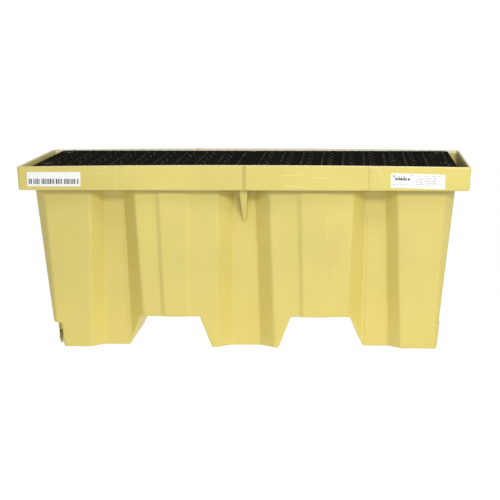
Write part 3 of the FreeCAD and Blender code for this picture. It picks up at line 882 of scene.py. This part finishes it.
    def sheet(self, ring, first, faces, points):
        """Closes a floor ring: strips across from front to back, and one flat face at each end."""
        front, end, count = self.front, self.end, self.count
        across = [a for a in range(front) if abs(ring[a, 0]) <= SHEET_REACH]
        partner = {a: front + end + (front - 1 - a) for a in across}
        columns = {}
        for a in across:
            column = [first + a]
            for k in range(1, SHEET_ROWS):
                share = k / SHEET_ROWS
                column.append(len(points))
                points.append(ring[a] * (1 - share) + ring[partner[a]] * share)
            column.append(first + partner[a])
            columns[a] = column
        for a in across[:-1]:
            left, right = columns[a], columns[a + 1]
            faces += [(left[k], right[k], right[k + 1], left[k + 1]) for k in range(SHEET_ROWS)]
        last, start = across[-1], across[0]
        right = list(range(last, partner[last] + 1))
        faces.append([first + i for i in right] + columns[last][1:-1][::-1])
        left = list(range(partner[start], count)) + list(range(0, start + 1))
        faces.append([first + i for i in left] + columns[start][1:-1])

    def build(self, material):
        rows = self.rows()
        points = list(np.concatenate(rows))
        faces = ring_faces(len(rows), self.count)
        self.sheet(rows[0], 0, faces, points)
        self.sheet(rows[-1], (len(rows) - 1) * self.count, faces, points)
        return make_object("tub", soft_waves(np.array(points)), faces, [material])


WAVE = 0.45


def soft_waves(points):
    """A moulding's slight unevenness: slow waves in the walls, none in the rim or under the feet."""
    x, y, z = points.T
    weight = WAVE * smoothstep(z, 10.0, 60.0) * fade(z, 440.0, 485.0)
    push = np.sin(x / 61.0 + 1.3 + 0.6 * np.sin(z / 83.0)) * np.sin(z / 97.0 + x / 310.0 + 0.4)
    push += 0.6 * np.sin(x / 29.0 + z / 141.0 + 2.2) * np.sin(z / 53.0 - x / 170.0)
    moved = points.copy()
    moved[:, 1] += weight * push
    moved[:, 0] += 0.6 * weight * np.sin(y / 47.0 + z / 119.0) * np.sin(z / 71.0 + 1.1)
    return moved


# ---- Grates: a slotted, studded plate over a lattice of ribs, built cell by cell and welded ----
PLATE_BOTTOM = DECK_TOP - PLATE
SLOT_EDGE = 1.1
SIDE_STEPS = 5
CELL_SPLITS = (20.5, 38.5)
STUD_RADIUS = 3.4
STUD_HEIGHT = 2.3
STUD_SIDES = 8
STUD_SINGLE = 40.5
STUD_SHIFT = 4.0
STUD_GAP = 12.0
LIP_PROFILE = ((7.0, 0.0), (5.6, 2.3), (3.8, 3.2))
EDGE_ROUND = 1.8
CHAMFER = 0.3
CORNER_BLEND = (0.55, 0.95)


def slot_outline(x, y, width, length, count):
    """Points round a round-ended slot along Y, counter-clockwise from +X, evenly spread."""
    r = width / 2
    straight = length - width
    half = straight + math.pi * r
    points = []
    for k in range(count):
        s = ((k + 0.5) / count * 2 * half + straight / 2) % (2 * half)
        side = 1 if s < half else -1
        s %= half
        angle = max(0.0, s - straight) / r
        rise = min(s, straight) - straight / 2 + r * math.sin(angle)
        points.append((x + side * r * math.cos(angle), y + side * rise))
    return np.array(points)


def aligned(hole, outer):
    """The hole's points, turned round so that each faces its partner on the outer ring."""
    best = min(range(len(hole)), key=lambda k: float(((np.roll(hole, -k, axis=0) - outer) ** 2).sum()))
    return np.roll(hole, -best, axis=0)


class Grate:
    """One grate, left (-1) or right (+1) of the seam."""

    def __init__(self, side):
        self.side = side
        self.low_x = SEAM if side > 0 else -DECK_HALF_LENGTH
        self.high_x = DECK_HALF_LENGTH if side > 0 else -SEAM
        self.first_x = 0.0 if side > 0 else -DECK_HALF_LENGTH
        self.points, self.faces = [], []

    def ring(self, xy, z):
        start = len(self.points)
        self.points += [(x, y, z) for x, y in xy]
        return list(range(start, start + len(xy)))

    def bands(self, rings):
        """Quads between successive rings."""
        for low, high in zip(rings[:-1], rings[1:]):
            for i in range(len(low)):
                j = (i + 1) % len(low)
                self.faces.append((low[i], low[j], high[j], high[i]))

    def opening(self, hole, outer, inner, lip=False):
        """One slot's share of the plate: its top, its rounded edge, its wall and its underside."""
        hole = aligned(hole, outer)
        away = unit(hole - hole.mean(axis=0))
        rings = [self.ring(outer, DECK_TOP)]
        if lip:
            for grow, rise in LIP_PROFILE:
                rings.append(self.ring(hole + away * grow, DECK_TOP + rise))
        crown = DECK_TOP + (LIP_PROFILE[-1][1] if lip else 0.0)
        for grow, drop in ((SLOT_EDGE, 0.0), (SLOT_EDGE * CHAMFER, SLOT_EDGE * CHAMFER), (0.0, SLOT_EDGE)):
            rings.append(self.ring(hole + away * grow, crown - drop))
        rings.append(self.ring(hole, PLATE_BOTTOM))
        rings.append(self.ring(inner, PLATE_BOTTOM))
        self.bands(rings)

    def cell(self, column, row):
        x = self.first_x + column * PITCH_X
        y_low = -DECK_HALF_WIDTH + row * PITCH_Y
        y_high = y_low + PITCH_Y
        middle = (y_low + y_high) / 2
        x_low, x_high = max(x, self.low_x), min(x + PITCH_X, self.high_x)
        in_low = y_low + (RIB if row == 0 else RIB / 2)
        in_high = y_high - (RIB if row == CELLS - 1 else RIB / 2)
        splits = [x + split for split in CELL_SPLITS]
        outer_edges = [x_low] + splits + [x_high]
        inner_edges = [x_low + (RIB if column == 0 else RIB / 2)] + splits
        inner_edges.append(x_high - (RIB if column == CELLS - 1 else RIB / 2))
        outer = self.lattice_ring(outer_edges, y_low, y_high)
        inner = self.lattice_ring(inner_edges, in_low, in_high)
        if column == (CELLS - 1 if self.side > 0 else 0) and row in (1, CELLS - 2):
            hole = slot_outline(x + PITCH_X / 2, middle, FINGER_WIDTH, FINGER_LENGTH, len(outer))
            self.opening(hole, outer, inner, True)
        else:
            for k, offset in enumerate(SLOT_OFFSETS):
                hole = slot_outline(x + offset, middle, SLOT_WIDTH, SLOT_LENGTH, 4 * SIDE_STEPS)
                self.opening(hole, self.lattice_ring(outer_edges[k:k + 2], y_low, y_high),
                             self.lattice_ring(inner_edges[k:k + 2], in_low, in_high))
            self.studs(x, middle, row)
        rings = [self.ring(inner, z) for z in (PLATE_BOTTOM, (PLATE_BOTTOM + SHELF_TOP) / 2, SHELF_TOP)]
        rings.append(self.ring(outer, SHELF_TOP))
        self.bands(rings)

    @staticmethod
    def lattice_ring(edges, low, high):
        """Points round a cell or a slot's share of it, from its first corner, counter-clockwise."""
        stops = [(x, low) for x in edges] + [(x, high) for x in reversed(edges)]
        points = []
        for (ax, ay), (bx, by) in zip(stops, stops[1:] + stops[:1]):
            points += [(ax + (bx - ax) * i / SIDE_STEPS, ay + (by - ay) * i / SIDE_STEPS)
                       for i in range(SIDE_STEPS)]
        return np.array(points)

    def studs(self, x, y, row):
        """The rows of anti-slip studs: one between slots, and one that zigzags about the cell's edge."""
        shift = STUD_SHIFT if row % 2 else -STUD_SHIFT
        for k in (-1, 0, 1):
            self.stud(x + STUD_SINGLE, y + k * STUD_GAP)
            edge_x = x + shift
            if self.low_x + STUD_RADIUS + 1 < edge_x:
                self.stud(edge_x, y + k * STUD_GAP)

    def stud(self, x, y):
        rings = []
        for share, z in ((1.0, -0.5), (1.0, 0.5), (0.82, 1.6), (0.45, STUD_HEIGHT)):
            rings.append(self.ring(circle(x, y, STUD_RADIUS * share, STUD_SIDES), DECK_TOP + z))
        self.bands(rings)
        self.faces.append(tuple(rings[0][::-1]))
        self.faces.append(tuple(rings[-1]))

    def build(self, name, material):
        for column in range(CELLS):
            for row in range(CELLS):
                self.cell(column, row)
        piece = make_object(name, self.points, self.faces, [material])
        weld(piece)
        with edited(piece.data) as work:
            self.close_sides(work)
        self.round_corners(piece)
        return piece

    def close_sides(self, work):
        """Walls down the outer edges, from a rounded top edge to the foot of the ribs."""
        work.verts.index_update()
        edges = [e for e in work.edges if e.is_boundary]
        top, foot, keys = {}, {}, {}
        for v in {v for e in edges for v in e.verts}:
            key = (round(v.co.x / MM, 2), round(v.co.y / MM, 2))
            (top if v.co.z / MM > PLATE_BOTTOM else foot)[key] = v
            keys[v.index] = key
        pairs = [[keys[v.index] for v in e.verts] for e in edges if e.verts[0].co.z / MM > PLATE_BOTTOM]
        chains = {}
        for (x, y), v in top.items():
            out_x = float(abs(x - self.high_x) < 0.05) - float(abs(x - self.low_x) < 0.05)
            out_y = math.copysign(1.0, y) if abs(abs(y) - DECK_HALF_WIDTH) < 0.05 else 0.0
            v.co.x -= out_x * EDGE_ROUND * MM
            v.co.y -= out_y * EDGE_ROUND * MM
            chain = [v]
            cut = CHAMFER * EDGE_ROUND
            for back, z in ((cut, DECK_TOP - cut), (0.0, DECK_TOP - EDGE_ROUND),
                            (0.0, PLATE_BOTTOM), (0.0, (PLATE_BOTTOM + SHELF_TOP) / 2)):
                chain.append(work.verts.new(((x - out_x * back) * MM, (y - out_y * back) * MM, z * MM)))
            chains[x, y] = chain + [foot[x, y]]
        for a, b in pairs:
            for k in range(len(chains[a]) - 1):
                work.faces.new((chains[a][k], chains[b][k], chains[b][k + 1], chains[a][k + 1])).smooth = True

    def round_corners(self, piece):
        """Bends the two outer corners of the grate from square to round."""
        for v in piece.data.vertices:
            x, y = v.co.x / MM * self.side, v.co.y / MM
            a = (x - (DECK_HALF_LENGTH - DECK_CORNER)) / DECK_CORNER
            b = (abs(y) - (DECK_HALF_WIDTH - DECK_CORNER)) / DECK_CORNER
            if a <= 0 or b <= 0:
                continue
            m = max(a, b)
            amount = float(smoothstep(m, *CORNER_BLEND))
            scale = 1 + amount * (m / math.hypot(a, b) - 1)
            v.co.x = self.side * (DECK_HALF_LENGTH - DECK_CORNER + a * scale * DECK_CORNER) * MM
            v.co.y = math.copysign(DECK_HALF_WIDTH - DECK_CORNER + b * scale * DECK_CORNER, y) * MM
        piece.data.update()


# ---- Small parts ----
THREAD_PITCH = 1.814
THREAD_DEPTH = 0.55
TURN_STEPS = 72
BORE_RADIUS = 17.2
BORE_REACH = (-6.0, 26.0)
HEAD_HALF_WIDTH = 16.0
SOCKET_STEPS = 56


def turned(name, profile, materials, closed, squareness=None):
    """A body turned about the drain's axis from (depth behind its face, radius) points, or (depth, radius,
    True) in a thread."""
    angles = np.arange(TURN_STEPS) * 2 * math.pi / TURN_STEPS
    points = []
    for depth, radius, *threaded in profile:
        x = DRAIN_FACE + depth
        r = np.full(TURN_STEPS, float(radius))
        if threaded:
            phase = (-x / THREAD_PITCH + angles / (2 * math.pi)) % 1.0
            r += THREAD_DEPTH * (np.abs(phase * 2 - 1) - 0.5)
        elif squareness:
            r = np.minimum(r, squareness(angles))
        points += [(x, DRAIN_Y + a * math.cos(t), DRAIN_Z + a * math.sin(t)) for a, t in zip(r, angles)]
    faces = ring_faces(len(profile), TURN_STEPS, closed)
    if not closed:
        faces += end_caps(len(profile), TURN_STEPS)
    return make_object(name, points, faces, materials)


def thread_run(first, last, radius):
    count = max(2, int(abs(last - first) / (THREAD_PITCH / 6)))
    return [(first + (last - first) * k / count, radius, True) for k in range(count + 1)]


def drain_plug(material):
    """Hexagon head with a dished, chamfered face, and a hollow threaded shank."""
    face, head, end = -10.0, -2.0, 22.0

    def hexagon(angles):
        turn = (angles + math.pi / 6) % (math.pi / 3) - math.pi / 6
        return HEAD_HALF_WIDTH / np.cos(turn)

    profile = [(face + 1.6, 4.0), (face + 1.5, 8.5), (face + 0.3, 10.3), (face, 11.0),
               (face, 14.6), (face + 0.15, 15.2), (face + 0.9, 16.9), (face + 2.0, 18.6),
               (head - 0.5, 18.6), (head, 18.0), (head, 13.6), (head + 0.6, 12.9)]
    profile += thread_run(head + 1.2, end - 1.4, 12.95)
    profile += [(end - 0.3, 12.3), (end, 11.9), (end, 9.8), (end - 0.4, 9.3),
                (head + 4.0, 9.2), (head + 3.0, 8.4), (head + 3.0, 2.0)]
    return turned("plug", profile, [material], False, hexagon)


def drain_insert(material):
    """Brass sleeve with a lead-in chamfer and an internal thread."""
    end = 22.0
    profile = [(0.3, 16.95), (0.0, 16.6), (0.0, 14.5), (0.9, 13.75)]
    profile += thread_run(1.4, end - 1.2, 13.65)
    profile += [(end - 0.2, 14.1), (end, 14.5), (end, 16.5), (end - 0.4, 16.95)]
    return turned("insert", profile, [material], True)


def drain_gasket(material):
    """Flat ring with rounded edges."""
    profile = [(-0.05, 14.2), (-0.5, 13.75), (-1.5, 13.75), (-1.95, 14.2),
               (-1.95, 18.0), (-1.5, 18.45), (-0.5, 18.45), (-0.05, 18.0)]
    return turned("gasket", profile, [material], True)


def bored(piece):
    """Opens the tub's wall where the drain insert sits."""
    ring = circle(DRAIN_Y, DRAIN_Z, BORE_RADIUS, TURN_STEPS)
    points = [(DRAIN_FACE + reach, y, z) for reach in BORE_REACH for y, z in ring]
    cutter = make_object("bore", points, ring_faces(2, TURN_STEPS) + end_caps(2, TURN_STEPS), [])
    cut = piece.modifiers.new("bore", "BOOLEAN")
    cut.operation, cut.solver, cut.object = "DIFFERENCE", "EXACT", cutter
    bpy.context.view_layer.update()
    whole = piece.evaluated_get(bpy.context.evaluated_depsgraph_get())
    opened = bpy.data.meshes.new_from_object(whole)
    piece.modifiers.clear()
    piece.data = opened
    bpy.data.objects.remove(cutter)
    return piece


def drain_boss(material):
    """The moulded ring round the insert."""
    profile = [(12.0, 21.0), (7.5, 24.0), (5.0, 22.6), (3.0, 22.0), (1.2, 22.0), (0.35, 21.6),
               (0.0, 20.9), (0.0, 17.5), (0.4, 17.0), (15.0, 17.0), (15.0, 19.0)]
    return turned("drain_boss", profile, [material], True)


def socket_ring(name, x, y, floor, material):
    """The low moulded ring round a post's foot, flared into the floor."""
    profile = [(38.6, -2.0), (38.0, 0.2), (35.9, 1.6), (34.95, 4.0), (34.75, 8.6), (34.1, 9.7), (33.2, 10.0),
               (32.0, 9.7), (31.1, 8.6), (30.8, 0.0), (30.8, -2.0)]
    points = [(*xy, floor + z) for r, z in profile for xy in circle(x, y, r, SOCKET_STEPS)]
    return make_object(name, points, ring_faces(len(profile), SOCKET_STEPS, closed=True), [material])


TONGUE_DROP = 104.0
TONGUE_REACH = 13.0
TONGUE_ROUND = 4.5
TONGUE_HALF = (5.4, 7.1)
TONGUE_TIP = 7.0
TONGUE_FOOT = 1.5
TONGUE_OVERLAP = (2.0, 4.0)
ARC_STEPS = 6


def tongue(name, turn, reach, across, depth, material):
    """A tapered tongue under the middle of one side of the rim, flat in front with soft edges."""
    low, high = RIM_BOTTOM - TONGUE_DROP, RIM_BOTTOM + TONGUE_OVERLAP[0]

    def wall_at(z):
        return across[0] + (across[1] - across[0]) * z / RIM_BOTTOM - depth

    foot = wall_at(low) + TONGUE_FOOT
    c, s = math.cos(turn), math.sin(turn)
    points = []
    heights = list(np.linspace(high, low + 6.0, 13)) + [low + 3.0, low + 1.0, low]
    for z in heights:
        share = (z - low) / (high - low)
        tip = 0.45 + 0.55 * min(1.0, math.sqrt(max(0.0, (z - low) / TONGUE_TIP)))
        half = (TONGUE_HALF[0] + TONGUE_HALF[1] * share) * tip
        wall, front = wall_at(z), foot + (reach - foot) * share
        r = min(TONGUE_ROUND, half * 0.7, max(0.6, (front - wall) * 0.8))
        side = [(-half, TONGUE_OVERLAP[1] - wall), (-half, (r - wall - front) / 2)]
        for a in np.linspace(0, math.pi / 2, ARC_STEPS):
            side.append((r - half - r * math.cos(a), r - front - r * math.sin(a)))
        loop = side + [(0.0, -front)] + [(-x, y) for x, y in reversed(side)]
        points += [(x * c - y * s, x * s + y * c, z) for x, y in loop]
    faces = ring_faces(len(heights), len(loop)) + end_caps(len(heights), len(loop))
    return make_object(name, points, faces, [material])


LABEL_LENGTH = 160.0
LABEL_HEIGHT = 43.5
LABEL_CORNER = 4.0
LABEL_THICKNESS = 0.4
LABEL_GAP = 0.02
LABEL_CELLS = (160, 44)


def bars(start, finish, low, high, widths, gap, slot):
    """A row of upright bars as (x low, x high, z low, z high, material). A width below 0 is a space."""
    made, x, k = [], start, 0
    while x < finish:
        width = widths[k % len(widths)]
        if width > 0:
            made.append((x, min(x + width, finish), low, high, slot))
            x += gap
        x += abs(width)
        k += 1
    return made


def label(name, centre, tilt, marks, materials):
    """Thin film on the front of the rim, with a plain pattern of bars printed on it."""
    nx, nz = LABEL_CELLS
    half_x, half_z = LABEL_LENGTH / 2, LABEL_HEIGHT / 2
    core_x, core_z = half_x - LABEL_CORNER, half_z - LABEL_CORNER
    xs, zs = np.linspace(-half_x, half_x, nx + 1), np.linspace(-half_z, half_z, nz + 1)
    c, s = math.cos(math.radians(tilt)), math.sin(math.radians(tilt))

    def rounded(x, z):
        a, b = (abs(x) - core_x) / LABEL_CORNER, (abs(z) - core_z) / LABEL_CORNER
        if a <= 0 or b <= 0:
            return x, z
        scale = LABEL_CORNER * max(a, b) / math.hypot(a, b)
        return math.copysign(core_x + a * scale, x), math.copysign(core_z + b * scale, z)

    def place(px, pz, off):
        x, z = centre[0] + px * c - pz * s, centre[1] + px * s + pz * c
        return x, -RIM_HALF_WIDTH + RIM_DRAFT * (RIM_TOP - z) / (RIM_TOP - RIM_BOTTOM) - off, z

    grid = [rounded(x, z) for z in zs for x in xs]
    points = [place(px, pz, LABEL_THICKNESS) for px, pz in grid]
    faces, slots = [], []
    for j in range(nz):
        for i in range(nx):
            k = j * (nx + 1) + i
            faces.append((k, k + 1, k + nx + 2, k + nx + 1))
            x, z = (xs[i] + xs[i + 1]) / 2 + half_x, (zs[j] + zs[j + 1]) / 2 + half_z
            under = [m for x0, x1, z0, z1, m in marks if x0 <= x <= x1 and z0 <= z <= z1]
            slots.append(under[-1] if under else 0)
    edge = list(range(nx + 1)) + [j * (nx + 1) + nx for j in range(1, nz + 1)]
    edge += [nz * (nx + 1) + i for i in range(nx - 1, -1, -1)] + [j * (nx + 1) for j in range(nz - 1, 0, -1)]
    first, count = len(points), len(edge)
    points += [place(*grid[k], LABEL_GAP) for k in edge]
    for i in range(count):
        j = (i + 1) % count
        faces.append((edge[j], edge[i], first + i, first + j))
    faces.append(tuple(range(first, first + count))[::-1])
    slots += [0] * (count + 1)
    return make_object(name, points, faces, materials, slots)


# ---- Scene: camera, floor and lights ----
CAMERA_PLACE = (0.3303, -6.1601, 1.0271)
CAMERA_TURNS = (3.055, 7.009, -0.142)
CAMERA_LENS = 141.8
SKY = 0.12
FLOOR_GLOW = 0.97
BACKDROP_GLOW = 1.0
STAGE_SIZE = (30000.0, 9000.0, 9000.0)
STAGE_LEVEL = -0.3
WARM_WHITE = (1.0, 0.99, 0.965)
LAMPS = (
    ("key", (0.88, -2.75, 1.50), (0.10, 0.0, 0.25), (1.2, 0.45), 40.0),
    ("overhead", (0.80, -2.2, 2.8), (0.10, -0.2, 0.2), (2.4, 1.3), 41.0),
)


def set_camera():
    """A long lens slightly right of the middle, looking a little down."""
    camera = bpy.data.objects.new("camera", bpy.data.cameras.new("camera"))
    bpy.context.collection.objects.link(camera)
    camera.data.sensor_width = 36.0
    camera.data.lens = CAMERA_LENS
    camera.data.clip_end = 200.0
    yaw, pitch, roll = map(math.radians, CAMERA_TURNS)
    forward = Vector((-math.sin(yaw) * math.cos(pitch), math.cos(yaw) * math.cos(pitch), -math.sin(pitch)))
    right = forward.cross(Vector((0, 0, 1))).normalized()
    up = right.cross(forward)
    turned_right = right * math.cos(roll) + up * math.sin(roll)
    turned_up = up * math.cos(roll) - right * math.sin(roll)
    turn = Matrix((turned_right, turned_up, -forward)).transposed().to_4x4()
    camera.matrix_world = Matrix.Translation(CAMERA_PLACE) @ turn
    bpy.context.scene.camera = camera


def area_light(name, place, aim, size, power):
    light = bpy.data.lights.new(name, "AREA")
    light.shape = "RECTANGLE"
    light.size, light.size_y = size
    light.energy = power
    light.color = WARM_WHITE
    lamp = bpy.data.objects.new(name, light)
    bpy.context.collection.objects.link(lamp)
    lamp.location = place
    lamp.rotation_euler = (Vector(aim) - Vector(place)).to_track_quat("-Z", "Y").to_euler()


def stage_plane(name, near, high, glow):
    """A level or upright plane of the stage, from a near lower edge to a far upper one."""
    wide, deep, _ = STAGE_SIZE
    corners = [(-wide, near, STAGE_LEVEL), (wide, near, STAGE_LEVEL), (wide, deep, high), (-wide, deep, high)]
    return make_object(name, corners, [(0, 1, 2, 3)], [studio_white("studio_" + name, glow)], smooth=False)


def set_stage():
    """A pale floor out to the horizon, an even sky and large soft lights."""
    world = bpy.data.worlds.new("studio")
    bpy.context.scene.world = world
    world.use_nodes = True
    background = world.node_tree.nodes["Background"]
    background.inputs["Color"].default_value = (1.0, 1.0, 1.0, 1.0)
    background.inputs["Strength"].default_value = SKY
    _, deep, tall = STAGE_SIZE
    floor = stage_plane("floor", -deep, STAGE_LEVEL, FLOOR_GLOW)
    back = stage_plane("backdrop", deep, tall, BACKDROP_GLOW)
    floor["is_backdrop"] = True
    back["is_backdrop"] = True
    for lamp in LAMPS:
        area_light(*lamp)
    bpy.context.scene.view_settings.view_transform = "Standard"


# ---- Assembly ----
set_camera()
set_stage()

yellow = moulded_yellow()
black = grate_black()


def add(piece, body, slot, *nodes):
    """Says what a piece rides on and which CAD nodes it stands for; slot, its finish, is not used."""
    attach(piece, body)
    for node in nodes:
        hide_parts(node)
    return piece


add(bored(Tub().build(yellow)), "pallet", "sump_polyethylene", "sump_body")
front_reach, end_reach = RIM_HALF_WIDTH - TONGUE_REACH, RIM_HALF_LENGTH - TONGUE_REACH
for name, turn, reach, across, depth in (
        ("tongue_front", 0.0, front_reach, BODY_HALF_WIDTH, FRONT_RECESS),
        ("tongue_back", math.pi, front_reach, BODY_HALF_WIDTH, FRONT_RECESS),
        ("tongue_right", math.pi / 2, end_reach, BODY_HALF_LENGTH, END_RECESS),
        ("tongue_left", -math.pi / 2, end_reach, BODY_HALF_LENGTH, END_RECESS)):
    add(tongue(name, turn, reach, across, depth, yellow), "pallet", "sump_polyethylene")
add(drain_boss(yellow), "pallet", "sump_polyethylene")
for number in range(1, 11):
    low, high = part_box("support_post_%02d" % number)
    middle = (low + high) / 2 / MM
    add(socket_ring("post_socket_%02d" % number, middle.x, middle.y, low.z / MM, yellow),
        "pallet", "sump_polyethylene")

for side, name in ((-1, "left_grate"), (1, "right_grate")):
    add(Grate(side).build(name + "_deck", black), name, "grate_polyethylene", name)

add(drain_insert(brass()), "pallet", "insert_brass", "drain_insert")
add(drain_gasket(gasket_rubber()), "drain_gasket", "gasket_rubber", "drain_gasket")
add(drain_plug(plug_ochre()), "drain_plug", "plug_plastic", "drain_plug")

LEFT_BARS = (3, 4, -3, 3, 2, 4, 3, -4, 3, 4, 2, 3, 3, 4, 2, 3, -3, 4, 3, 2, 3, -4, 3, 3, 4, 2, 3)
FILMS = (
    ("label_white", (0.86, 0.86, 0.85, 1.0), 0.3, 0.5), ("print_black", (0.03, 0.03, 0.03, 1.0), 0.4, 0.6),
    ("print_grey", (0.20, 0.21, 0.23, 1.0), 0.4, 0.6), ("print_green", (0.16, 0.42, 0.24, 1.0), 0.4, 0.6),
)
films = [film(*values) for values in FILMS]
left_marks = bars(6.0, 156.0, 7.0, 23.0, LEFT_BARS, 2, 1)
right_marks = [(6.0, 13.0, 31.0, 38.0, 3)]
right_marks += bars(13.0, 57.0, 22.5, 29.5, (5, 3, 4, 6, 2, 5, 3, -2), 1, 1)
right_marks += bars(22.0, 46.0, 31.5, 35.0, (6, 3, 7, 2), 2, 2)
right_marks += bars(58.0, 152.0, 37.0, 39.0, (7, 4, -6, 9, 3), 3, 2)
for z in (11.0, 16.0, 21.0, 26.0, 31.0):
    right_marks += bars(72.0 + (z % 7), 138.0 - (z % 5), z, z + 2.0, (5, 3, 8, -4, 2, 6), 2, 2)
right_marks += bars(6.0, 60.0, 9.0, 11.0, (8, 5, -3, 11), 3, 2)
for name, centre, tilt, marks in (("left_label", (-563.0, 523.5), 0.0, left_marks),
                                  ("right_label", (516.5, 519.5), -1.7, right_marks)):
    add(label(name + "_film", centre, tilt, marks, films), "pallet", "label_film", name)

pvc, caps = grey_pvc(), cap_black()
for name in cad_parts:
    finish = pvc if name.startswith("support_post") else caps if name.startswith("post_cap") else None
    if finish:
        for slot in bpy.data.objects[name].material_slots:
            slot.material = finish

low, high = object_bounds()
